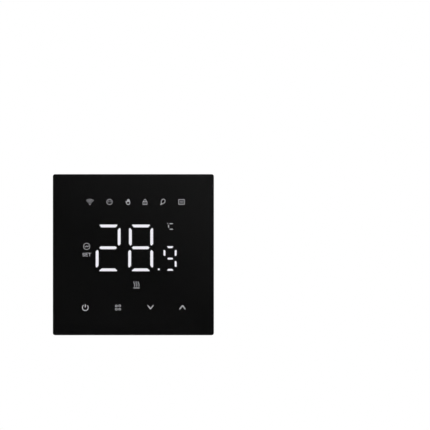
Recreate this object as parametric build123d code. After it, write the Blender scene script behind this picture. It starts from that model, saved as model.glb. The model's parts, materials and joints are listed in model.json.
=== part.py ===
from build123d import *
import math
import os

# Wall thermostat with a touch glass front, in millimetres.
# Origin: centre of the wall face. +X to the right, +Y into the wall, +Z up.

# ---------------------------------------------------------------- driving sizes
face_size = 86.0             # square front, the common 86 mm wall-plate format
face_corner = 1.2
visible_depth = 14.5         # wall to glass front
in_wall_depth = 28.0         # depth of the case inside the wall box
box_screw_spacing = 60.3     # hole spacing of the 86 mm wall box

glass_thick = 1.5
glass_chamfer = 0.12
ink_edge = 0.02              # clear glass left around the ink
ink_gap = 0.02               # keeps the ink's face from coinciding with the glass
ink_thick = 0.1
film_thick = 0.2
shell_wall = 2.0
deck_thick = 1.5
back_round = 4.0             # rounding of the frame towards the wall
wall_gap = 0.2               # the frame stops just short of the wall
board_thick = 1.6

plate_size = 72.0
plate_thick = 1.2
plate_corner = 3.0
box_slot_radius = 2.15
box_slot_length = 6.5

case_width = 50.0
case_wall = 1.6
flange_thick = 1.6
cover_thick = 1.4

way_count = 6
way_pitch = 7.5
wire_bore_radius = 1.4

# ---------------------------------------------------------------- stations along Y
glass_front = -visible_depth
glass_back = glass_front + glass_thick
ink_front = glass_back + ink_gap
ink_back = glass_back + ink_thick
film_back = ink_back + film_thick
deck_back = film_back + deck_thick
light_depth = 3.6            # reflector depth, from the film to the display board
display_front = film_back + light_depth
display_back = display_front + board_thick
frame_back = -wall_gap

plate_front = -plate_thick
flange_front = plate_front - flange_thick
cover_front = flange_front - cover_thick
power_front = 2.0
power_back = power_front + board_thick
tray_back = 6.0              # the shallow part of the case, beside the terminals

# ---------------------------------------------------------------- places on the face
# An end of a bar is (height of its point, cut above it, cut below it), with the bar lying along x.
big_digit = dict(
    bar=1.52, upper_row=11.66, lower_row=11.79, column_offset=5.88, column_length=9.55,
    far_end=(-0.2, 1.15, 0.55), near_end=(0.1, 0.7, 0.9),
    row_length=9.6, upper_end=(0.35, 0.25, 0.95), lower_end=(0.35, 0.25, 1.3),
    middle_length=9.45, middle_end=(0.0, 0.8, 0.8), middle_place=(-0.2, 0.0), lower_x=-0.13,
    right_x=5.72, upper_left_x=-5.7, lower_left_x=-6.06, corner=0.1)
small_digit = dict(
    bar=1.02, upper_row=6.05, lower_row=6.05, column_offset=2.96, column_length=3.3,
    far_end=(-0.1, 0.5, 0.3), near_end=(0.08, 0.3, 0.5),
    row_length=3.25, upper_end=(0.25, 0.12, 0.6), lower_end=(0.25, 0.15, 0.65),
    middle_length=3.15, middle_end=(0.0, 0.5, 0.5), middle_place=(0.0, -0.08), lower_x=0.0,
    right_x=2.92, upper_left_x=-3.07, lower_left_x=-3.2, corner=0.08)

digits = [
    (big_digit, (-13.38, 3.67), "abged"),        # 2
    (big_digit, (4.03, 3.67), "abcdefg"),        # 8
    (small_digit, (19.64, -2.05), "abcdfg"),     # 9
]
decimal_dot = (13.54, -7.86, 0.53)

window_centre = (-2.0, -1.0)
window_size = (58.0, 40.0)
icon_row_z = 28.2
icon_strip_centre = (1.2, icon_row_z)
icon_strip_size = (56.0, 6.0)
icon_xs = dict(wifi=-23.3, timer=-12.83, hand=-2.95, lock=6.15, leaf=15.65, radiator=25.69)
key_row_z = -28.3
key_xs = dict(power=-25.9, menu=-8.28, down=9.1, up=26.2)
key_hole_radius = 4.5

board_size = (76.0, 70.0)
board_boss = (35.0, 32.0)
plate_screw_place = (18.0, 29.5)
case_half_height = 27.0
deep_low = -11.0             # lower side of the deep part of the case
cover_screw_places = [(x, z) for x in (-21.4, 21.4) for z in (22.5, -7.4)]
cover_screw_radius = 1.0
header_z = 20.0
header_pitch = 2.54
pin_places = [((column - 2.5) * header_pitch, header_z + row * header_pitch)
              for column in range(6) for row in (-0.5, 0.5)]

way_xs = [(way - (way_count - 1) / 2) * way_pitch for way in range(way_count)]
clamp_z = -18.6
wire_y = 9.0
terminal_back = 17.6
terminal_half = 23.0
terminal_low, terminal_high = -25.0, -12.0
cell_low, cell_high = -21.4, -15.8
screw_seat = 14.6
contact_leg_z = -13.4

transformer_centre = (-13.5, 10.6, 11.0)
relay_x, relay_z = 12.3, 10.2
coil_x = relay_x - 2.5
hinge_x = 4.0                # the armature rocks about (4.0, 14.3, 10.2)
contact_x = hinge_x + 15.2

label_centre = (0.0, 8.0)
label_size = (40.0, 28.0)
label_thick = 0.1


# ---------------------------------------------------------------- drawing helpers
def facing(y):
    """Plane parallel to the wall, drawn as seen from the room: local x, y are X, Z."""
    return Plane(origin=(0, y, 0), x_dir=(1, 0, 0), z_dir=(0, -1, 0))


def slab(sketch, front, back):
    """The drawing as a solid from y=front to y=back."""
    return extrude(facing(back) * sketch, amount=back - front)


def block(x0, x1, y0, y1, z0, z1):
    return Pos((x0 + x1) / 2, (y0 + y1) / 2, (z0 + z1) / 2) * Box(x1 - x0, y1 - y0, z1 - z0)


def rod(x, z, radius, front, back):
    """Round bar or hole along Y."""
    return slab(Pos(x, z) * Circle(radius), front, back)


def panel(centre, size, corner=0.0):
    flat = RectangleRounded(size[0], size[1], corner) if corner else Rectangle(size[0], size[1])
    return Pos(*centre) * flat


def stroke(points, width):
    """A drawn line of even width with round ends and corners."""
    drawn = None
    for start, end in zip(points, points[1:]):
        run = math.dist(start, end)
        turn = math.degrees(math.atan2(end[1] - start[1], end[0] - start[0]))
        middle = ((start[0] + end[0]) / 2, (start[1] + end[1]) / 2)
        piece = Pos(*middle) * Rot(0, 0, turn) * SlotCenterToCenter(run, width)
        drawn = piece if drawn is None else drawn + piece
    return drawn


def ring(radius, width):
    return Circle(radius + width / 2) - Circle(radius - width / 2)


def arc_stroke(radius, width, start, sweep):
    return SlotArc(CenterArc((0, 0), radius, start, sweep), width)


def frame_outline(width, height, line):
    return Rectangle(width + line, height + line) - Rectangle(width - line, height - line)


def group(solids):
    return Compound(children=[solid for shape in solids for solid in shape.solids()])


def save(name, shape):
    export_step(shape, f"parts/{name}.step")


# ---------------------------------------------------------------- seven-segment digits
def pointed_bar(length, width, left_end, right_end, corner):
    """Bar along local x with a point at each end."""
    half = length / 2
    top = width / 2
    left_tip, left_upper, left_lower = left_end
    right_tip, right_upper, right_lower = right_end
    outline = Polygon(
        (-half, left_tip), (-half + left_lower, -top), (half - right_lower, -top),
        (half, right_tip), (half - right_upper, top), (-half + left_upper, top), align=None)
    return fillet(outline.vertices(), corner)


def digit_segments(size):
    """The seven bars of one digit, around the centre of its middle bar."""
    def bar(length, left_end, right_end):
        return pointed_bar(size[length], size["bar"], size[left_end], size[right_end], size["corner"])

    upper_right = Rot(0, 0, 90) * bar("column_length", "near_end", "far_end")
    lower_right = Rot(0, 0, 90) * bar("column_length", "far_end", "near_end")
    half_turn = Rot(0, 0, 180)
    up = size["column_offset"]
    return dict(
        a=Pos(0, size["upper_row"]) * bar("row_length", "upper_end", "upper_end"),
        b=Pos(size["right_x"], up) * upper_right,
        c=Pos(size["right_x"], -up) * lower_right,
        d=Pos(size["lower_x"], -size["lower_row"]) * half_turn * bar("row_length", "lower_end", "lower_end"),
        e=Pos(size["lower_left_x"], -up) * half_turn * upper_right,
        f=Pos(size["upper_left_x"], up) * half_turn * lower_right,
        g=Pos(*size["middle_place"]) * bar("middle_length", "middle_end", "middle_end"))


def placed_segments(lit):
    """The bars of all digits that are lit, or those that are dark."""
    chosen = []
    for size, centre, letters in digits:
        for letter, bar in digit_segments(size).items():
            if (letter in letters) == lit:
                chosen.append(Pos(*centre) * bar)
    if lit:
        chosen.append(Pos(decimal_dot[0], decimal_dot[1]) * Circle(decimal_dot[2]))
    return chosen


# ---------------------------------------------------------------- icons
def wifi_icon():
    """Radio waves rising from a dot."""
    waves = [arc_stroke(radius, 0.14, 48, 84) for radius in (0.9, 1.55, 2.2, 2.85)]
    return [Pos(0, -1.4) * shape for shape in [Circle(0.25), *waves]]


def timer_icon():
    """Clock face with two short hands."""
    left_hand = stroke([(-0.8, 0.1), (-0.3, 0.1), (-0.3, 0.6)], 0.17)
    right_hand = stroke([(0.3, 0.2), (0.8, 0.2)], 0.17)
    return [ring(1.42, 0.2), left_hand, right_hand]


def hand_icon():
    """Open hand: a round palm with a thumb and three fingers."""
    palm = Pos(0.1, -0.5) * ring(0.9, 0.3)
    fingers = [stroke([(x, 0.3), (x, top)], 0.32) for x, top in ((-0.2, 1.25), (0.25, 1.45), (0.7, 1.1))]
    thumb = stroke([(-0.8, -0.3), (-1.15, 0.25)], 0.3)
    return [palm + fingers + thumb]


def lock_icon():
    body = Pos(0, -0.6) * frame_outline(2.1, 1.5, 0.21)
    shackle = stroke([(-0.7, 0.2), (-0.5, 0.95), (0, 1.4), (0.5, 0.95), (0.7, 0.2)], 0.21)
    keyhole = stroke([(0, -0.9), (0, -0.3)], 0.23)
    return [body + shackle, keyhole]


def leaf_icon():
    """Tilted leaf outline with its stalk at the lower left."""
    blade = Ellipse(1.42, 1.07) - Ellipse(1.18, 0.83)
    stalk = stroke([(-0.4, -1.4), (-1.25, -1.42), (-0.72, -0.78)], 0.22)
    return [Pos(0.18, 0.28) * Rot(0, 0, 60) * blade + stalk]


def radiator_icon():
    casing = frame_outline(2.95, 2.5, 0.24)
    bends = [Pos(x, 0.1) * arc_stroke(0.3, 0.15, 0, 180) for x in (-0.42, 0.42)]
    pipes = stroke([(-0.75, -0.45), (0.75, -0.45)], 0.15)
    return [casing, *bends, pipes]


def setting_icon():
    """Round dial with a wave across it."""
    wave = stroke([(-1.1, 0.15), (-0.6, -0.35), (0.0, 0.3), (0.55, -0.3), (1.1, 0.35)], 0.2)
    return [ring(1.68, 0.2), wave]


def set_letters():
    """The word SET, drawn with plain strokes."""
    line = 0.21
    top = 0.8
    side = 0.5
    letter_s = stroke([(side, 0.55), (0.25, top), (-0.25, top), (-side, 0.5), (-side, 0.25), (-0.25, 0.02),
                       (0.25, -0.02), (side, -0.25), (side, -0.5), (0.25, -top), (-0.25, -top),
                       (-side, -0.55)], line)
    letter_e = stroke([(side, top), (-side, top), (-side, -top), (side, -top)], line)
    letter_e += stroke([(-side, 0), (0.35, 0)], line)
    letter_t = stroke([(-0.65, top), (0.65, top)], line) + stroke([(0, top), (0, -top)], line)
    return [Pos(-1.62, 0) * letter_s, Pos(0.0, 0) * letter_e, Pos(1.55, 0) * letter_t]


def degree_icon():
    """Degree dot and a capital C made of three bars."""
    dot = Pos(-1.6, 1.6) * Circle(0.25)
    bars = [stroke([(-0.4, 1.45), (1.1, 1.45)], 0.4), stroke([(-1.05, 0.7), (-1.05, -0.55)], 0.38),
            stroke([(-0.3, -1.5), (1.1, -1.5)], 0.4)]
    return [dot, *bars]


def heat_icon():
    """Three waves of warm air over a line."""
    wave = stroke([(-0.2, 1.75), (-0.35, 1.2), (0.0, 0.6), (0.25, 0.0), (0.05, -0.85)], 0.22)
    waves = [Pos(x, 0) * wave for x in (-1.1, 0.05, 1.2)]
    return [*waves, stroke([(-1.5, -1.65), (1.5, -1.65)], 0.3)]


def power_icon():
    opening = 80
    arc = arc_stroke(1.55, 0.23, 90 + opening / 2, 360 - opening)
    return [Pos(0.12, -0.05) * arc, stroke([(0.12, 0.1), (0.12, 1.7)], 0.25)]


def menu_icon():
    return [Pos(x, z) * ring(0.52, 0.13) for x in (-0.88, 0.88) for z in (-0.9, 0.9)]


def down_icon():
    return [stroke([(-1.5, 1.2), (0, -0.75), (1.5, 1.2)], 0.25)]


def up_icon():
    return [stroke([(-1.5, -0.85), (0, 1.1), (1.5, -0.85)], 0.25)]


def at(place, shapes):
    return [Pos(*place) * shape for shape in shapes]


def status_icons():
    drawings = dict(wifi=wifi_icon, timer=timer_icon, hand=hand_icon,
                    lock=lock_icon, leaf=leaf_icon, radiator=radiator_icon)
    return [shape for name, draw in drawings.items()
            for shape in at((icon_xs[name], icon_row_z), draw())]


def mode_icons():
    return (at((-25.05, 4.43), setting_icon()) + at((-25.0, 0.0), set_letters())
            + at((19.85, 15.1), degree_icon()) + at((1.6, -16.15), heat_icon()))


def key_icons():
    drawings = dict(power=power_icon, menu=menu_icon, down=down_icon, up=up_icon)
    return [shape for name, draw in drawings.items()
            for shape in at((key_xs[name], key_row_z), draw())]


def window_inserts(sketches):
    """Translucent print that fills openings of the ink layer."""
    return group([slab(sketch, ink_front, ink_back) for sketch in sketches])


# ---------------------------------------------------------------- front module
def front_glass():
    sheet = slab(RectangleRounded(face_size, face_size, face_corner), glass_front, glass_back)
    return chamfer(sheet.faces().sort_by(Axis.Y)[0].edges(), glass_chamfer)


def display_mask(windows):
    width = face_size - 2 * ink_edge
    ink = RectangleRounded(width, width, face_corner - ink_edge)
    for window in windows:
        ink -= window
    return slab(ink, ink_front, ink_back)


def light_openings(margin):
    """Digit window and icon strip, grown by margin on each side."""
    grow = 2 * margin
    return [panel(window_centre, (window_size[0] + grow, window_size[1] + grow)),
            panel(icon_strip_centre, (icon_strip_size[0] + grow, icon_strip_size[1] + grow))]


def glass_adhesive():
    sheet = RectangleRounded(face_size - 2.0, face_size - 2.0, 1.0)
    for opening in light_openings(0):
        sheet -= opening
    for x in key_xs.values():
        sheet -= Pos(x, key_row_z) * Circle(key_hole_radius)
    return slab(sheet, ink_back, film_back)


def diffuser_film():
    return group([slab(opening, ink_back, film_back) for opening in light_openings(-0.2)])


def rounded_shell(inset, back):
    """Square body with rounded edges towards the wall, inset from the outer faces."""
    half = face_size / 2 - inset
    radius = back_round - inset
    front = film_back
    profile = Polygon((-half, 0), (half, 0), (half, back - front), (-half, back - front), align=None)
    profile = fillet([v for v in profile.vertices() if v.Y > 1], radius)
    across = extrude(Plane((0, front, -half), x_dir=(1, 0, 0), z_dir=(0, 0, 1)) * profile, amount=2 * half)
    upright = extrude(Plane((half, front, 0), x_dir=(0, 0, 1), z_dir=(-1, 0, 0)) * profile, amount=2 * half)
    column = slab(RectangleRounded(2 * half, 2 * half, face_corner), front, back)
    return across & upright & column


def frame_vents():
    """Air slots in the lower and upper walls, for the room sensor."""
    slots = []
    for side in (-1, 1):
        for step in range(9):
            x = -26 + (step - 4) * 3.0
            z = side * face_size / 2
            slots.append(block(x - 0.7, x + 0.7, -9.0, -5.0, z - 3, z + 3))
    return slots


def front_frame():
    body = rounded_shell(0, frame_back) - rounded_shell(shell_wall, frame_back - shell_wall)
    opening = face_size - 2 * (shell_wall + back_round)
    body -= slab(RectangleRounded(opening, opening, 2.0), frame_back - shell_wall - 0.5, frame_back)
    deck = slab(Rectangle(face_size - 2 * shell_wall, face_size - 2 * shell_wall), film_back, deck_back)
    for light in light_openings(-0.2):
        deck -= slab(light, film_back, deck_back)
    for x in key_xs.values():
        deck -= rod(x, key_row_z, key_hole_radius, film_back, deck_back)
    body += deck
    for x in (-board_boss[0], board_boss[0]):
        for z in (-board_boss[1], board_boss[1]):
            body += rod(x, z, 2.4, deck_back, display_front)
            body -= rod(x, z, 0.9, film_back + 0.5, display_front)
    for slot in frame_vents():
        body -= slot
    return body


def segment_reflector():
    """White light box: one cell behind every digit bar and behind each icon."""
    margin = -0.5
    digit_box = panel(window_centre, (window_size[0] + 2 * margin, window_size[1] + 2 * margin))
    for bar in placed_segments(True) + placed_segments(False):
        digit_box -= bar
    icon_cells = [((-25.05, 2.6), (5.6, 8.0)), ((19.85, 15.0), (4.6, 4.6)), ((1.6, -16.0), (4.4, 5.2))]
    for centre, size in icon_cells:
        digit_box -= panel(centre, size)
    strip = panel(icon_strip_centre, (icon_strip_size[0] + 2 * margin, icon_strip_size[1] + 2 * margin))
    for x in icon_xs.values():
        strip -= Pos(x, icon_row_z) * Circle(2.35)
    return group([slab(digit_box, film_back, display_front), slab(strip, film_back, display_front)])


def display_pcb():
    board = slab(panel((0, 0), board_size, 1.5), display_front, display_back)
    for x in (-board_boss[0], board_boss[0]):
        for z in (-board_boss[1], board_boss[1]):
            board -= rod(x, z, 1.2, display_front, display_back)
    return board


def led_chip(x, z, wide, tall):
    return block(x - wide / 2, x + wide / 2, display_front - 0.6, display_front, z - tall / 2, z + tall / 2)


def display_leds():
    chips = []
    for bar in placed_segments(True) + placed_segments(False):
        middle = bar.bounding_box().center()
        upright = bar.bounding_box().size.Y > bar.bounding_box().size.X
        length = max(bar.bounding_box().size.X, bar.bounding_box().size.Y)
        long_side = min(1.6, length - 0.5)
        chip_size = (0.8, long_side) if upright else (long_side, 0.8)
        chips.append(led_chip(middle.X, middle.Y, *chip_size))
    for x, z in ((-25.05, 4.4), (-25.05, 0.2), (19.85, 15.0), (1.6, -16.0)):
        chips.append(led_chip(x, z, 1.6, 0.8))
    chips += [led_chip(x, icon_row_z, 1.6, 0.8) for x in icon_xs.values()]
    chips += [led_chip(x, key_row_z, 1.6, 0.8) for x in key_xs.values()]
    return group([chip for chip in chips])


def touch_springs():
    """Coil springs that carry the touch signal from the glass to the board."""
    coil_radius = 3.2
    wire = 0.25
    travel = display_front - ink_back - 2 * wire - 0.04
    path = Helix(pitch=travel / 4, height=travel, radius=coil_radius)
    coil = sweep(Plane(origin=path @ 0, z_dir=path % 0) * Circle(wire), path=path)
    coil = Pos(0, display_front - wire - 0.02, 0) * Rot(90, 0, 0) * coil
    return group([Pos(x, 0, key_row_z) * coil for x in key_xs.values()])


def wifi_module():
    """Radio board with its shielding can on the back of the display board."""
    board = block(-33, -17, display_back, display_back + 0.8, -2, 22)
    can = block(-32, -18, display_back + 0.8, display_back + 2.9, -1, 14)
    can -= block(-31.8, -18.2, display_back + 0.8, display_back + 2.7, -0.8, 13.8)
    return group([board, can])


def microcontroller():
    """Square flat package with leads on four sides."""
    centre_x, centre_z, half = 2.0, -4.0, 5.0
    chip = block(centre_x - half, centre_x + half, display_back + 0.15, display_back + 1.5,
                 centre_z - half, centre_z + half)
    for step in range(11):
        shift = (step - 5) * 0.8
        for side in (-1, 1):
            low, high = sorted((side * (half - 0.2), side * (half + 1.0)))
            chip += block(centre_x + shift - 0.18, centre_x + shift + 0.18, display_back, display_back + 0.3,
                          centre_z + low, centre_z + high)
            chip += block(centre_x + low, centre_x + high, display_back, display_back + 0.3,
                          centre_z + shift - 0.18, centre_z + shift + 0.18)
    return chip


def buzzer():
    body = rod(24, 4, 4.5, display_back, display_back + 2.8)
    return body - rod(24, 4, 0.8, display_back + 1.6, display_back + 2.8)


def display_pcb_parts():
    parts = []
    for column in range(8):
        for row_z in (-15.0, -19.0):
            x = -20 + column * 5.0
            parts.append(block(x - 1.0, x + 1.0, display_back, display_back + 0.7, row_z - 0.6, row_z + 0.6))
    for x in (12.0, 16.0):
        parts.append(block(x - 1.4, x + 1.4, display_back, display_back + 1.1, -9.0, -5.0))
    return group(parts)


def room_sensor():
    """Glass bead on two leads, in the air stream of the lower slots."""
    x, z = -30.0, -38.0
    bead = Pos(x, display_back + 1.5, z) * Sphere(1.1)
    for side in (-0.5, 0.5):
        bead += block(x + side - 0.15, x + side + 0.15, display_back + 1.3, display_back + 1.6, z, -33.0)
        bead += block(x + side - 0.15, x + side + 0.15, display_back, display_back + 1.6, -33.3, -33.0)
    return bead


def board_socket():
    socket = block(-7.9, 7.9, display_back, -2.5, header_z - 2.7, header_z + 2.7)
    for x, z in pin_places:
        socket -= block(x - 0.5, x + 0.5, display_back + 0.4, -2.5, z - 0.5, z + 0.5)
    return socket


def pan_head_screw(x, z, head_radius, head_front, head_back, shank_radius, shank_back):
    screw = rod(x, z, head_radius, head_front, head_back) + rod(x, z, shank_radius, head_back, shank_back)
    depth = (head_back - head_front) * 0.6
    arm = head_radius * 0.6
    screw -= block(x - arm, x + arm, head_front, head_front + depth, z - 0.25, z + 0.25)
    screw -= block(x - 0.25, x + 0.25, head_front, head_front + depth, z - arm, z + arm)
    return screw


def display_pcb_screws():
    """Screws driven from the back of the display board into the frame's bosses."""
    turned = []
    for x in (-board_boss[0], board_boss[0]):
        for z in (-board_boss[1], board_boss[1]):
            screw = rod(x, z, 1.9, display_back, display_back + 1.3) + rod(x, z, 0.9, -11.8, display_back)
            screw -= block(x - 1.1, x + 1.1, display_back + 0.6, display_back + 1.3, z - 0.25, z + 0.25)
            screw -= block(x - 0.25, x + 0.25, display_back + 0.6, display_back + 1.3, z - 1.1, z + 1.1)
            turned.append(screw)
    return group(turned)


# ---------------------------------------------------------------- wall unit
def mounting_plate():
    sheet = RectangleRounded(plate_size, plate_size, plate_corner)
    sheet -= RectangleRounded(case_width + 0.6, 2 * case_half_height + 0.6, 2.3)
    for x in (-box_screw_spacing / 2, box_screw_spacing / 2):
        sheet -= Pos(x, 0) * SlotOverall(box_slot_length, 2 * box_slot_radius)
    for x in (-plate_screw_place[0], plate_screw_place[0]):
        for z in (-plate_screw_place[1], plate_screw_place[1]):
            sheet -= Pos(x, z) * Circle(1.25)
    return slab(sheet, plate_front, 0)


def retaining_clips():
    """Bent spring strips on the plate that hold the front frame's back lip."""
    thick = 0.4
    foot_low, foot_high = 32.6, 35.6
    outline = [(plate_front, foot_low), (plate_front, foot_high), (-2.2, foot_high), (-3.5, 36.8),
               (-6.2, 35.2), (-6.2, 34.8), (-3.7, 36.3), (-2.4, 35.2), (plate_front - thick, 35.2),
               (plate_front - thick, foot_low)]
    side_on = Plane((-4, 0, 0), x_dir=(0, 1, 0), z_dir=(1, 0, 0))
    strip = extrude(side_on * Polygon(*outline, align=None), amount=8)
    clips = []
    for x in (-26, 26):
        clips.append(Pos(x, 0, 0) * strip)
        clips.append(mirror(Pos(x, 0, 0) * strip, Plane.XY))
    return group(clips)


def power_case():
    deep_middle = (case_half_height + deep_low) / 2
    deep_outline = panel((0, deep_middle), (case_width, case_half_height - deep_low), 2.0)
    outer_deep = slab(deep_outline, tray_back - 1, in_wall_depth)
    outer_deep = fillet(outer_deep.faces().sort_by(Axis.Y)[-1].edges(), 1.2)
    body = slab(RectangleRounded(case_width, 2 * plate_screw_place[1] + 5, 3.0), flange_front, plate_front)
    body += slab(RectangleRounded(case_width, 2 * case_half_height, 2.0), plate_front, tray_back)
    body += outer_deep
    inner_half = case_width / 2 - case_wall
    inner_top = case_half_height - case_wall
    tray_floor = tray_back - case_wall
    body -= block(-inner_half, inner_half, flange_front, tray_floor, -inner_top, inner_top)
    body -= block(-inner_half, inner_half, tray_floor, in_wall_depth - case_wall,
                  deep_low + case_wall, inner_top)
    body -= block(-23.2, 23.2, tray_floor, tray_back, -25.2, -11.8)
    for x, z in cover_screw_places:
        body += rod(x, z, 2.2, power_back, 13.0)
        body -= rod(x, z, cover_screw_radius, power_back, 12.0)
    for x in (-plate_screw_place[0], plate_screw_place[0]):
        for z in (-plate_screw_place[1], plate_screw_place[1]):
            body -= rod(x, z, 1.35, flange_front, plate_front)
    for side in (-1, 1):
        for step in range(5):
            y = 15.0 + step * 2.4
            edge = side * case_width / 2
            body -= block(edge - 2, edge + 2, y - 0.6, y + 0.6, 0.0, 12.0)
    return body


def power_cover():
    cover = slab(RectangleRounded(case_width, 2 * case_half_height, 2.0), cover_front, flange_front)
    cover -= block(-8.7, 8.7, cover_front, flange_front, header_z - 3.3, header_z + 3.3)
    for x, z in cover_screw_places:
        cover += rod(x, z, 1.9, flange_front, power_front)
        cover -= rod(x, z, cover_screw_radius + 0.1, cover_front, power_front)
    return cover


def power_pcb():
    board = slab(RectangleRounded(46.0, 50.0, 1.0), power_front, power_back)
    for x, z in cover_screw_places:
        board -= rod(x, z, 1.2, power_front, power_back)
    for x, z in pin_places:
        board -= rod(x, z, 0.55, power_front, power_back)
    for x in way_xs:
        board -= rod(x, contact_leg_z, 0.8, power_front, power_back)
    return board


def header_housing():
    housing = block(-7.6, 7.6, -0.3, power_front, header_z - 2.5, header_z + 2.5)
    for x, z in pin_places:
        housing -= block(x - 0.32, x + 0.32, -0.3, power_front, z - 0.32, z + 0.32)
    return housing


def header_pins():
    return group([block(x - 0.32, x + 0.32, -6.6, 5.2, z - 0.32, z + 0.32) for x, z in pin_places])


def transformer_core():
    x, y, z = transformer_centre
    core = block(x - 9, x + 9, y - 2.5, y + 2.5, z - 8, z + 8)
    for side in (-1, 1):
        low, high = sorted((side * 2.5, side * 5.8))
        core -= block(x - 5.6, x + 5.6, y - 2.5, y + 2.5, z + low, z + high)
    return core


def transformer_coil():
    x, y, z = transformer_centre
    coil = block(x - 4.8, x + 4.8, y - 5.3, y + 5.3, z - 5.3, z + 5.3)
    coil = fillet(coil.edges().filter_by(Axis.X), 1.5)
    for side in (-1, 1):
        low, high = sorted((side * 4.6, side * 5.5))
        coil += block(x + low, x + high, y - 5.6, y + 5.6, z - 5.6, z + 5.6)
    coil += block(x - 5.5, x + 5.5, power_back, y - 5.2, z - 5.6, z + 5.6)
    return coil - block(x - 6, x + 6, y - 2.5, y + 2.5, z - 2.5, z + 2.5)


def relay_case():
    shell = block(relay_x - 9.9, relay_x + 9.9, power_back, 19.4, relay_z - 8, relay_z + 8)
    return shell - block(relay_x - 9.2, relay_x + 9.2, power_back, 18.6, relay_z - 7.3, relay_z + 7.3)


def relay_base():
    return block(relay_x - 9.1, relay_x + 9.1, power_back, 5.2, relay_z - 7.2, relay_z + 7.2)


def relay_yoke():
    """Steel frame of the relay: foot, side plate and the pole inside the coil."""
    foot = block(hinge_x - 0.5, coil_x + 2.2, 5.2, 6.2, relay_z - 4, relay_z + 4)
    side = block(hinge_x - 0.5, hinge_x + 0.5, 5.2, 14.2, relay_z - 4, relay_z + 4)
    pole = rod(coil_x, relay_z, 2.0, 6.2, 13.8)
    return foot + side + pole


def relay_coil():
    winding = rod(coil_x, relay_z, 4.3, 6.2, 13.4)
    for front in (6.2, 12.8):
        winding += rod(coil_x, relay_z, 4.9, front, front + 0.6)
    return winding - rod(coil_x, relay_z, 2.0, 6.2, 13.4)


def relay_fixed_contact():
    strip = block(20.0, 20.6, 5.2, 13.1, relay_z - 1.5, relay_z + 1.5)
    arm = block(contact_x - 1.2, 20.6, 12.5, 13.1, relay_z - 1.5, relay_z + 1.5)
    return strip + arm + rod(contact_x, relay_z, 1.2, 13.1, 13.7)


def relay_armature():
    """Plate that the coil pulls in; it rocks on the top edge of the side plate."""
    return block(3.3, 12.6, 14.35, 15.35, relay_z - 4, relay_z + 4)


def relay_moving_contact():
    leaf = block(6.0, contact_x + 1.3, 15.35, 15.55, relay_z - 1.5, relay_z + 1.5)
    return leaf + rod(contact_x, relay_z, 1.2, 14.75, 15.35)


def electrolytic_capacitors():
    cans = []
    for x, z in ((-15.0, -2.5), (-6.0, -4.0)):
        can = rod(x, z, 4.0, power_back, power_back + 13)
        can -= block(x - 2.5, x + 2.5, power_back + 12.8, power_back + 13, z - 0.15, z + 0.15)
        can -= block(x - 0.15, x + 0.15, power_back + 12.8, power_back + 13, z - 2.5, z + 2.5)
        cans.append(can)
    return group(cans)


def film_capacitor():
    body = block(0.3, 12.3, power_back, 14.6, -7.5, -1.5)
    return fillet(body.edges().filter_by(Axis.Y), 0.6)


def varistor():
    disc = Pos(17.0, 8.8, -2.6) * Cylinder(4.0, 3.4)
    for side in (-2.5, 2.5):
        disc += block(17.0 + side - 0.4, 17.0 + side + 0.4, power_back, 7.0, -3.0, -2.2)
    return disc


def fuse():
    """Cartridge fuse in two clips beside the mains input."""
    x0, x1, y, z = -17.5, -8.5, 6.4, 22.0
    tube = Pos((x0 + x1) / 2, y, z) * Rot(0, 90, 0) * Cylinder(1.5, x1 - x0)
    for end in (x0 + 1.2, x1 - 1.2):
        tube += Pos(end, y, z) * Rot(0, 90, 0) * Cylinder(1.8, 2.4)
        tube += block(end - 1.0, end + 1.0, power_back, y, z - 1.2, z + 1.2)
    return tube


def power_pcb_parts():
    """Chip resistors and capacitors in three rows on the room side of the board."""
    rows = [(9, -20.0), (7, -5.0), (9, 4.0)]
    places = [((column - (count - 1) / 2) * 4.5, z) for count, z in rows for column in range(count)]
    return group([block(x - 1.2, x + 1.2, power_front - 0.9, power_front, z - 0.7, z + 0.7)
                  for x, z in places])


# ---------------------------------------------------------------- terminals
def terminal_block():
    body = block(-terminal_half, terminal_half, power_back, terminal_back, terminal_low, terminal_high)
    for x in way_xs:
        body -= block(x - 3.0, x + 3.0, 6.6, screw_seat, cell_low, cell_high)
        body -= block(x - 2.0, x + 2.0, 10.2, 11.4, cell_low, -12.7)
        body -= block(x - 2.0, x + 2.0, power_back, 11.4, -14.1, -12.7)
        body -= rod(x, clamp_z, 2.5, screw_seat, 16.7)
        body -= rod(x, clamp_z, 1.9, 16.7, terminal_back)
        wire_bore = Cylinder(wire_bore_radius, cell_low - terminal_low)
        body -= Pos(x, wire_y, (terminal_low + cell_low) / 2) * wire_bore
        body -= Pos(x, wire_y, terminal_low + 0.4) * Cone(2.2, wire_bore_radius, 0.8)
    for x in way_xs[:-1]:
        edge = x + way_pitch / 2
        body -= block(edge - 0.3, edge + 0.3, 15.6, terminal_back, terminal_low, terminal_high)
    return body


def terminal_contacts():
    bars = []
    for x in way_xs:
        bar = block(x - 1.8, x + 1.8, 10.4, 11.2, cell_low + 0.2, contact_leg_z + 0.4)
        bar += block(x - 1.8, x + 1.8, power_back, 11.2, contact_leg_z - 0.4, contact_leg_z + 0.4)
        bar += block(x - 0.5, x + 0.5, power_front - 0.8, power_back,
                     contact_leg_z - 0.4, contact_leg_z + 0.4)
        bars.append(bar)
    return group(bars)


def terminal_screw(x):
    """Captive clamp screw, driven from the back, with a slot and a cross recess."""
    screw = rod(x, clamp_z, 1.75, 11.25, 14.8) + rod(x, clamp_z, 2.3, 14.8, 16.4)
    screw -= block(x - 2.4, x + 2.4, 15.6, 16.4, clamp_z - 0.35, clamp_z + 0.35)
    screw -= block(x - 0.35, x + 0.35, 15.6, 16.4, clamp_z - 1.4, clamp_z + 1.4)
    return screw


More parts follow.
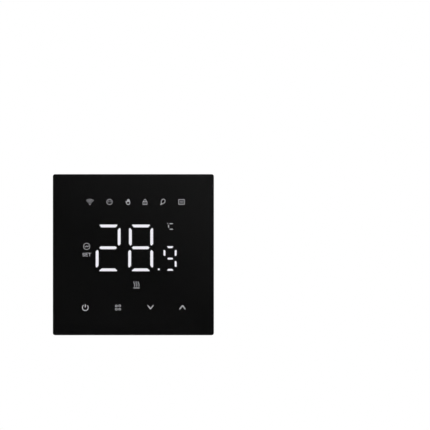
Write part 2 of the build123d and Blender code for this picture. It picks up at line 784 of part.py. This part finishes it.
def terminal_clamp(x):
    """Rising cage: the screw pulls it up and its floor presses the wire on the bar."""
    cage = block(x - 2.8, x + 2.8, 6.8, 12.1, cell_low + 0.3, cell_high - 0.3)
    cage -= block(x - 2.1, x + 2.1, 7.6, 11.3, cell_low + 0.3, cell_high - 0.3)
    return cage - rod(x, clamp_z, 1.8, 11.3, 12.1)


def plate_screws():
    screws = []
    for x in (-plate_screw_place[0], plate_screw_place[0]):
        for z in (-plate_screw_place[1], plate_screw_place[1]):
            screws.append(pan_head_screw(x, z, 2.3, flange_front - 1.3, flange_front, 1.25, 0))
    return group(screws)


def cover_screws():
    return group([pan_head_screw(x, z, 1.9, cover_front - 1.2, cover_front, cover_screw_radius, 11.0)
                  for x, z in cover_screw_places])


def rating_label():
    return slab(panel(label_centre, label_size, 1.5), in_wall_depth, in_wall_depth + label_thick)


def numeral(number, height, line):
    """Plain numeral from 1 to 6 in straight strokes, to be read from behind the wall."""
    top = height / 2
    side = -height * 0.3
    strokes = {
        1: [[(-side * 0.6, top * 0.6), (0, top), (0, -top)]],
        2: [[(-side, top), (side, top), (side, 0), (-side, 0), (-side, -top), (side, -top)]],
        3: [[(-side, top), (side, top), (side, -top), (-side, -top)], [(-side, 0), (side, 0)]],
        4: [[(-side, top), (-side, 0), (side, 0)], [(side, top), (side, -top)]],
        5: [[(side, top), (-side, top), (-side, 0), (side, 0), (side, -top), (-side, -top)]],
        6: [[(side, top), (-side, top), (-side, -top), (side, -top), (side, 0), (-side, 0)]]}
    return Sketch() + [stroke(points, line) for points in strokes[number]]


def label_print():
    """Generic wiring diagram: six numbered terminals, their wires, a load, a supply and a sensor."""
    line = 0.35
    face = in_wall_depth + label_thick
    pin_z, wire_low, box_low, sensor_z = 0.0, 1.3, 14.9, 11.0
    xs = [label_centre[0] + (way - 2.5) * 5.4 for way in range(way_count)]
    load_x, supply_x, sensor_x = [(xs[way] + xs[way + 1]) / 2 for way in (0, 2, 4)]
    drawn = [Pos(*label_centre) * frame_outline(label_size[0] - 2.4, label_size[1] - 2.4, line)]
    drawn += [Pos(x, pin_z) * ring(1.0, line) for x in xs]
    drawn += [Pos(x, pin_z - 2.7) * numeral(number, 1.9, line) for number, x in enumerate(xs, start=1)]
    drawn += [stroke([(x, wire_low), (x, box_low)], line) for x in xs[:4]]
    drawn.append(stroke([(xs[4], wire_low), (xs[4], sensor_z), (xs[5], sensor_z), (xs[5], wire_low)], line))
    drawn.append(Pos(sensor_x, sensor_z) * Circle(0.9))
    drawn.append(Pos(load_x, box_low + 1.5) * frame_outline(7.0, 3.0, line))
    drawn.append(Pos(supply_x, box_low + 1.0) * ring(3.0, line))
    return group([slab(Sketch() + drawn, face, face + 0.05)])


def main():
    os.makedirs("parts", exist_ok=True)
    lit = placed_segments(True)
    dark = placed_segments(False)
    status = status_icons()
    modes = mode_icons()
    keys = key_icons()

    save("front_glass", front_glass())
    save("display_mask", display_mask(lit + dark + status + modes + keys))
    save("lit_segments", window_inserts(lit))
    save("unlit_segments", window_inserts(dark))
    save("status_icons", window_inserts(status))
    save("mode_icons", window_inserts(modes))
    save("key_icons", window_inserts(keys))
    save("glass_adhesive", glass_adhesive())
    save("diffuser_film", diffuser_film())
    save("front_frame", front_frame())
    save("segment_reflector", segment_reflector())
    save("display_pcb", display_pcb())
    save("display_leds", display_leds())
    save("touch_springs", touch_springs())
    save("wifi_module", wifi_module())
    save("microcontroller", microcontroller())
    save("buzzer", buzzer())
    save("display_pcb_parts", display_pcb_parts())
    save("room_sensor", room_sensor())
    save("board_socket", board_socket())
    save("display_pcb_screws", display_pcb_screws())

    save("mounting_plate", mounting_plate())
    save("retaining_clips", retaining_clips())
    save("power_case", power_case())
    save("power_cover", power_cover())
    save("power_pcb", power_pcb())
    save("header_housing", header_housing())
    save("header_pins", header_pins())
    save("transformer_core", transformer_core())
    save("transformer_coil", transformer_coil())
    save("relay_case", relay_case())
    save("relay_base", relay_base())
    save("relay_yoke", relay_yoke())
    save("relay_coil", relay_coil())
    save("relay_fixed_contact", relay_fixed_contact())
    save("relay_armature", relay_armature())
    save("relay_moving_contact", relay_moving_contact())
    save("electrolytic_capacitors", electrolytic_capacitors())
    save("film_capacitor", film_capacitor())
    save("varistor", varistor())
    save("fuse", fuse())
    save("power_pcb_parts", power_pcb_parts())
    save("terminal_block", terminal_block())
    save("terminal_contacts", terminal_contacts())
    for number, x in enumerate(way_xs, start=1):
        save(f"terminal_screw_{number}", terminal_screw(x))
        save(f"terminal_clamp_{number}", terminal_clamp(x))
    save("plate_screws", plate_screws())
    save("cover_screws", cover_screws())
    save("rating_label", rating_label())
    save("label_print", label_print())


main()
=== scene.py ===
import json
import math

import bpy
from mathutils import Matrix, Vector


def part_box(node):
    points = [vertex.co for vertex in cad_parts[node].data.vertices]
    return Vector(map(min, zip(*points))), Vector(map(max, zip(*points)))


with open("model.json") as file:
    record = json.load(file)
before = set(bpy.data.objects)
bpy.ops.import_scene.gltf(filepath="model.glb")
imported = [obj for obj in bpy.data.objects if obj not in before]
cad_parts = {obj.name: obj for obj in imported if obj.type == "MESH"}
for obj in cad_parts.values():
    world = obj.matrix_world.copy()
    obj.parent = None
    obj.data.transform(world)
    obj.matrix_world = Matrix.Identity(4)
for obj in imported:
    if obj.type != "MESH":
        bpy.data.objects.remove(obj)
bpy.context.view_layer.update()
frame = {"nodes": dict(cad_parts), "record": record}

# Wall thermostat: materials, light and camera around the CAD frame. Lengths are in metres.

MM = 0.001

# ---------------------------------------------------------------- places
glass_low, glass_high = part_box("front_glass")
face_centre = (glass_low + glass_high) / 2
face_centre.y = glass_low.y

picture_width = 229.6 * MM        # what the camera sees across, at the glass
camera_lens = 100.0               # millimetres, on the sensor below
sensor_width = 36.0
camera_shift_right = 43.6 * MM    # camera's place beside and above the face centre
camera_shift_up = 21.2 * MM
floor_drop = 210 * MM             # floor below the lower edge of the glass
floor_reach = 0.55

wave_band = 0.314                 # a wave texture of scale 1 has one band in this many metres
track_period = 0.8 * MM           # copper tracks on the boards
track_group = 6 * MM
wire_period = 0.3 * MM            # turns of the relay coil
crystal_size = 3.2 * MM           # zinc crystals on the plate

# ---------------------------------------------------------------- material helpers


class Finish:
    """A material with one Principled shader, and noise in the object's own coordinates."""

    def __init__(self, name, color, roughness, metallic=0.0):
        self.material = bpy.data.materials.new(name)
        self.material.use_nodes = True
        self.tree = self.material.node_tree
        self.shader = self.tree.nodes["Principled BSDF"]
        self.set("Base Color", (*color, 1.0))
        self.set("Roughness", roughness)
        self.set("Metallic", metallic)
        self.color = color
        self.roughness = roughness
        self.place = None

    def set(self, socket, value):
        self.shader.inputs[socket].default_value = value
        return self

    def add(self, kind):
        return self.tree.nodes.new(kind)

    def link(self, source, target):
        self.tree.links.new(source, target)

    def coordinates(self, stretch=(1, 1, 1)):
        """Object coordinates in metres, squeezed along some axes."""
        if self.place is None:
            self.place = self.add("ShaderNodeTexCoord")
        if stretch == (1, 1, 1):
            return self.place.outputs["Object"]
        mapping = self.add("ShaderNodeMapping")
        mapping.inputs["Scale"].default_value = stretch
        self.link(self.place.outputs["Object"], mapping.inputs["Vector"])
        return mapping.outputs["Vector"]

    def noise(self, size, detail=3.0, stretch=(1, 1, 1)):
        """Noise whose blotches are about size across."""
        texture = self.add("ShaderNodeTexNoise")
        texture.inputs["Scale"].default_value = 1 / size
        texture.inputs["Detail"].default_value = detail
        self.link(self.coordinates(stretch), texture.inputs["Vector"])
        return texture.outputs["Fac"]

    def cells(self, size, metric="EUCLIDEAN"):
        """Voronoi cells about size across."""
        texture = self.add("ShaderNodeTexVoronoi")
        texture.distance = metric
        texture.inputs["Scale"].default_value = 1 / size
        self.link(self.coordinates(), texture.inputs["Vector"])
        return texture

    def waves(self, axis, period, distortion=0.0):
        """Bands across the axis, one to each period."""
        texture = self.add("ShaderNodeTexWave")
        texture.bands_direction = axis
        texture.inputs["Scale"].default_value = wave_band / period
        texture.inputs["Distortion"].default_value = distortion
        self.link(self.coordinates(), texture.inputs["Vector"])
        return texture.outputs["Fac"]

    def spread(self, value, low, high, start=0.3, end=0.7):
        """Value from start to end, mapped to low to high."""
        ramp = self.add("ShaderNodeMapRange")
        ramp.inputs["From Min"].default_value = start
        ramp.inputs["From Max"].default_value = end
        ramp.inputs["To Min"].default_value = low
        ramp.inputs["To Max"].default_value = high
        self.link(value, ramp.inputs["Value"])
        return ramp.outputs["Result"]

    def tint(self, value, dark, light, start=0.35, end=0.65):
        """Base colour that runs from dark to light with the value."""
        ramp = self.add("ShaderNodeValToRGB")
        ramp.color_ramp.elements[0].position = start
        ramp.color_ramp.elements[1].position = end
        ramp.color_ramp.elements[0].color = (*dark, 1)
        ramp.color_ramp.elements[1].color = (*light, 1)
        self.link(value, ramp.inputs["Fac"])
        self.link(ramp.outputs["Color"], self.shader.inputs["Base Color"])
        return self

    def mottle(self, size, amount):
        """Faint light and dark patches around the base colour."""
        dark = [c * (1 - amount) for c in self.color]
        light = [min(1.0, c * (1 + amount)) for c in self.color]
        return self.tint(self.noise(size), dark, light)

    def dull(self, size, amount, stretch=(1, 1, 1)):
        """Roughness that wanders around its value."""
        low, high = self.roughness - amount, self.roughness + amount
        self.link(self.spread(self.noise(size, stretch=stretch), low, high), self.shader.inputs["Roughness"])
        return self

    def relief(self, value, depth, strength=1.0):
        """Surface relief about depth high."""
        bump = self.add("ShaderNodeBump")
        bump.inputs["Strength"].default_value = strength
        bump.inputs["Distance"].default_value = depth
        self.link(value, bump.inputs["Height"])
        self.link(bump.outputs["Normal"], self.shader.inputs["Normal"])
        return self


def moulded(name, color, roughness, grain=0.25 * MM, depth=0.012 * MM):
    """Injection-moulded plastic with a fine eroded texture."""
    finish = Finish(name, color, roughness)
    finish.mottle(9 * MM, 0.03).dull(3 * MM, 0.06)
    return finish.relief(finish.noise(grain, detail=2.0), depth, 0.8)


def smooth_plastic(name, color, roughness):
    """Shiny plastic, film or resin, almost even."""
    finish = Finish(name, color, roughness)
    finish.set("Coat Weight", 0.25).set("Coat Roughness", 0.1)
    finish.mottle(5 * MM, 0.06).dull(2 * MM, 0.05)
    return finish.relief(finish.noise(0.8 * MM), 0.008 * MM, 0.6)


def metal(name, color, roughness, stretch=(1, 1, 1), grain=0.15 * MM, depth=0.0006 * MM):
    """Bare or plated metal, drawn or rolled along the axis that stretch squeezes."""
    finish = Finish(name, color, roughness, metallic=1.0)
    finish.mottle(4 * MM, 0.05).dull(0.5 * MM, 0.04, stretch)
    return finish.relief(finish.noise(grain, detail=2.0, stretch=stretch), depth, 0.7)


def glow(name, color, strength):
    """Translucent print with light behind it, very slightly uneven."""
    finish = Finish(name, (0.02, 0.02, 0.02), 0.4)
    finish.set("Emission Color", (*color, 1.0)).set("Emission Strength", strength)
    ramp = finish.add("ShaderNodeValToRGB")
    ramp.color_ramp.elements[0].color = (*[c * 0.97 for c in color], 1)
    ramp.color_ramp.elements[1].color = (*color, 1)
    finish.link(finish.noise(4 * MM), ramp.inputs["Fac"])
    finish.link(ramp.outputs["Color"], finish.shader.inputs["Emission Color"])
    return finish


# ---------------------------------------------------------------- one finish for each material slot
def cover_glass():
    """Clear glass. Both its faces reflect here, though on the real one the ink takes up the back
    one, so the index is lower than glass has and about 4 % comes back in all."""
    finish = Finish("cover_glass", (1.0, 1.0, 1.0), 0.0)
    return finish.set("Transmission Weight", 1.0).set("IOR", 1.36)


def black_ink():
    """Ink behind the glass, far blacker than real ink and without gloss, so the front looks black."""
    finish = Finish("black_ink", (0.0010, 0.0010, 0.0011), 0.35)
    finish.mottle(20 * MM, 0.15)
    return finish.set("Specular IOR Level", 0.0)


def dark_window():
    """Smoked print over an unlit segment, a shade lighter than the ink."""
    finish = Finish("dark_window", (0.0014, 0.0014, 0.0016), 0.35)
    finish.mottle(6 * MM, 0.1)
    return finish.set("Specular IOR Level", 0.0)


def circuit_board():
    """Green solder mask over groups of parallel copper tracks, some across and some upright."""
    finish = Finish("circuit_board", (0.02, 0.13, 0.055), 0.32)
    groups = finish.cells(track_group, metric="CHEBYCHEV")
    split = finish.add("ShaderNodeSeparateColor")
    finish.link(groups.outputs["Color"], split.inputs["Color"])
    upright = finish.spread(split.outputs["Red"], 0.0, 1.0, 0.49, 0.51)
    covered = finish.spread(split.outputs["Green"], 0.0, 1.0, 0.34, 0.36)
    chosen = finish.add("ShaderNodeMix")
    finish.link(upright, chosen.inputs["Factor"])
    finish.link(finish.waves("Z", track_period), chosen.inputs["A"])
    finish.link(finish.waves("X", track_period), chosen.inputs["B"])
    tracks = finish.add("ShaderNodeMath")
    tracks.operation = "MULTIPLY"
    finish.link(finish.spread(chosen.outputs["Result"], 0.0, 1.0, 0.42, 0.58), tracks.inputs[0])
    finish.link(covered, tracks.inputs[1])
    finish.tint(tracks.outputs["Value"], (0.02, 0.13, 0.055), (0.04, 0.23, 0.10), 0.0, 1.0)
    finish.set("Coat Weight", 0.5).set("Coat Roughness", 0.15)
    return finish.relief(tracks.outputs["Value"], 0.03 * MM, 0.5)


def galvanised_plate():
    """Zinc-coated sheet: flat crystals of slightly different brightness, and fine rolling lines."""
    finish = Finish("plate_steel", (0.62, 0.63, 0.64), 0.36, metallic=1.0)
    crystals = finish.cells(crystal_size)
    shade = finish.spread(crystals.outputs["Color"], 0.0, 1.0, 0.0, 1.0)
    finish.tint(shade, (0.50, 0.51, 0.52), (0.70, 0.71, 0.72), 0.0, 1.0)
    finish.dull(1.5 * MM, 0.08)
    return finish.relief(finish.noise(0.2 * MM, detail=4.0, stretch=(0.05, 1, 1)), 0.004 * MM, 0.3)


def winding(name, color, metallic):
    """Turns of enamelled wire side by side around the Y axis, with painted shade darkening the colour in the
    grooves between turns.
    """
    finish = Finish(name, color, 0.3, metallic)
    turns_and_groove_shade = finish.waves("Y", wire_period, distortion=0.3)
    # painted shade: the copper colour falls to 0.35 of itself in the grooves between the wire turns
    finish.tint(turns_and_groove_shade, [c * 0.35 for c in color], color, 0.0, 0.6)
    return finish.relief(turns_and_groove_shade, 0.08 * MM, 0.9)


def label_paper():
    finish = Finish("label_paper", (0.84, 0.84, 0.81), 0.55)
    finish.mottle(3 * MM, 0.03).dull(1 * MM, 0.05)
    return finish.relief(finish.noise(0.12 * MM, detail=5.0, stretch=(1, 1, 0.4)), 0.006 * MM, 0.7)


finishes = dict(
    cover_glass=cover_glass(),
    black_ink=black_ink(),
    lit_display=glow("lit_display", (0.945, 0.936, 1.0), 0.93),
    dark_window=dark_window(),
    icon_light=glow("icon_light", (0.95, 0.95, 1.0), 0.58),
    key_light=glow("key_light", (0.96, 0.96, 1.0), 1.0),
    adhesive=moulded("adhesive", (0.02, 0.02, 0.02), 0.8, grain=0.4 * MM, depth=0.05 * MM),
    diffuser=smooth_plastic("diffuser", (0.80, 0.80, 0.80), 0.45),
    housing=moulded("housing", (0.011, 0.011, 0.012), 0.42),
    white_plastic=moulded("white_plastic", (0.78, 0.78, 0.76), 0.5),
    circuit_board=circuit_board(),
    led_chip=smooth_plastic("led_chip", (0.82, 0.72, 0.25), 0.35),
    spring_steel=metal("spring_steel", (0.66, 0.66, 0.68), 0.24, stretch=(0.08, 1, 1)),
    shield_metal=metal("shield_metal", (0.66, 0.67, 0.68), 0.3, stretch=(1, 1, 0.08)),
    chip_black=moulded("chip_black", (0.018, 0.018, 0.018), 0.5, grain=0.15 * MM),
    chip_ceramic=smooth_plastic("chip_ceramic", (0.30, 0.22, 0.14), 0.5),
    sensor_bead=smooth_plastic("sensor_bead", (0.05, 0.03, 0.02), 0.2),
    connector_black=moulded("connector_black", (0.015, 0.015, 0.016), 0.45),
    screw_steel=metal("screw_steel", (0.63, 0.62, 0.58), 0.28, grain=0.25 * MM),
    plate_steel=galvanised_plate(),
    case_plastic=moulded("case_plastic", (0.52, 0.52, 0.50), 0.48, grain=0.3 * MM, depth=0.018 * MM),
    gold_pin=metal("gold_pin", (0.86, 0.62, 0.25), 0.22, stretch=(1, 0.08, 1)),
    ferrite=moulded("ferrite", (0.028, 0.028, 0.03), 0.6, grain=0.2 * MM, depth=0.02 * MM),
    coil_tape=smooth_plastic("coil_tape", (0.78, 0.55, 0.05), 0.3),
    relay_shell=smooth_plastic("relay_shell", (0.02, 0.06, 0.22), 0.3),
    copper_winding=winding("copper_winding", (0.62, 0.24, 0.09), 0.8),
    contact_copper=metal("contact_copper", (0.78, 0.50, 0.22), 0.3, stretch=(1, 1, 0.1)),
    capacitor_can=smooth_plastic("capacitor_can", (0.02, 0.02, 0.03), 0.28),
    film_cap=smooth_plastic("film_cap", (0.70, 0.50, 0.04), 0.35),
    varistor_blue=smooth_plastic("varistor_blue", (0.03, 0.10, 0.38), 0.3),
    fuse_metal=metal("fuse_metal", (0.78, 0.78, 0.76), 0.16),
    terminal_plastic=moulded("terminal_plastic", (0.03, 0.20, 0.08), 0.42, grain=0.35 * MM, depth=0.02 * MM),
    label_paper=label_paper(),
    label_ink=smooth_plastic("label_ink", (0.03, 0.03, 0.03), 0.5),
)

for part in frame["record"]["subparts"]:
    solid = frame["nodes"][part["node"]]
    solid.data.materials.clear()
    solid.data.materials.append(finishes[part["material_slot"]].material)


# ---------------------------------------------------------------- stage, light and camera
def make_floor():
    """Pale round floor well below the object."""
    bpy.ops.mesh.primitive_circle_add(vertices=96, radius=floor_reach, fill_type="NGON")
    floor = bpy.context.object
    floor.name = "floor"
    floor.location = (face_centre.x, 0, glass_low.z - floor_drop)
    finish = Finish("pale_floor", (0.86, 0.86, 0.86), 0.7)
    finish.mottle(60 * MM, 0.01)
    floor.data.materials.append(finish.material)


def soft_box(name, place, width, height, power):
    """Rectangular light aimed at the middle of the object."""
    data = bpy.data.lights.new(name, "AREA")
    data.shape = "RECTANGLE"
    data.size = width
    data.size_y = height
    data.energy = power
    light = bpy.data.objects.new(name, data)
    light.location = place
    aim = Vector((0, 0, 0)) - light.location
    light.rotation_euler = aim.to_track_quat("-Z", "Y").to_euler()
    bpy.context.scene.collection.objects.link(light)


def make_world():
    """White to the camera; to light and reflections a dim room, brighter up and to the right."""
    world = bpy.data.worlds.new("studio")
    world.use_nodes = True
    tree = world.node_tree
    tree.nodes.clear()
    place = tree.nodes.new("ShaderNodeTexCoord")

    def brightness_along(direction, start, end, low, high):
        """Brightness that runs from low to high along a direction."""
        along = tree.nodes.new("ShaderNodeVectorMath")
        along.operation = "DOT_PRODUCT"
        along.inputs[1].default_value = direction
        tree.links.new(place.outputs["Generated"], along.inputs[0])
        ramp = tree.nodes.new("ShaderNodeMapRange")
        ramp.inputs["From Min"].default_value = start
        ramp.inputs["From Max"].default_value = end
        ramp.inputs["To Min"].default_value = low
        ramp.inputs["To Max"].default_value = high
        tree.links.new(along.outputs["Value"], ramp.inputs["Value"])
        return ramp.outputs["Result"]

    total = tree.nodes.new("ShaderNodeMath")
    total.operation = "ADD"
    overhead = brightness_along((0, 0, 1), -0.35, 0.9, 0.074, 0.10)
    window = brightness_along((0.55, 0, 0.83), -0.07, 0.04, 0.0, 0.11)
    tree.links.new(overhead, total.inputs[0])
    tree.links.new(window, total.inputs[1])
    room = tree.nodes.new("ShaderNodeBackground")
    room.inputs["Color"].default_value = (1.0, 1.0, 1.0, 1.0)
    tree.links.new(total.outputs["Value"], room.inputs["Strength"])
    backdrop = tree.nodes.new("ShaderNodeBackground")
    backdrop.inputs["Color"].default_value = (1.0, 1.0, 1.0, 1.0)
    backdrop.inputs["Strength"].default_value = 1.0
    ray = tree.nodes.new("ShaderNodeLightPath")
    mix = tree.nodes.new("ShaderNodeMixShader")
    output = tree.nodes.new("ShaderNodeOutputWorld")
    tree.links.new(ray.outputs["Is Camera Ray"], mix.inputs["Fac"])
    tree.links.new(room.outputs[0], mix.inputs[1])
    tree.links.new(backdrop.outputs[0], mix.inputs[2])
    tree.links.new(mix.outputs[0], output.inputs["Surface"])
    bpy.context.scene.world = world


def make_camera():
    """Square on to the glass, a little to the right of and above its centre."""
    data = bpy.data.cameras.new("camera")
    data.lens = camera_lens
    data.sensor_width = sensor_width
    camera = bpy.data.objects.new("camera", data)
    distance = picture_width * camera_lens / sensor_width
    camera.location = face_centre + Vector((camera_shift_right, -distance, camera_shift_up))
    camera.rotation_euler = (math.radians(90), 0, 0)
    bpy.context.scene.collection.objects.link(camera)
    bpy.context.scene.camera = camera


make_floor()
make_world()
soft_box("key_light", (0.45, -0.45, 0.55), 0.5, 0.5, 9.0)
soft_box("fill_light", (-0.6, -0.3, 0.2), 0.5, 0.6, 3.5)
soft_box("back_light", (0.35, 0.6, 0.45), 0.6, 0.5, 7.0)
soft_box("low_back_light", (-0.5, 0.5, -0.05), 0.4, 0.4, 3.0)
make_camera()
bpy.context.scene.view_settings.view_transform = "Standard"
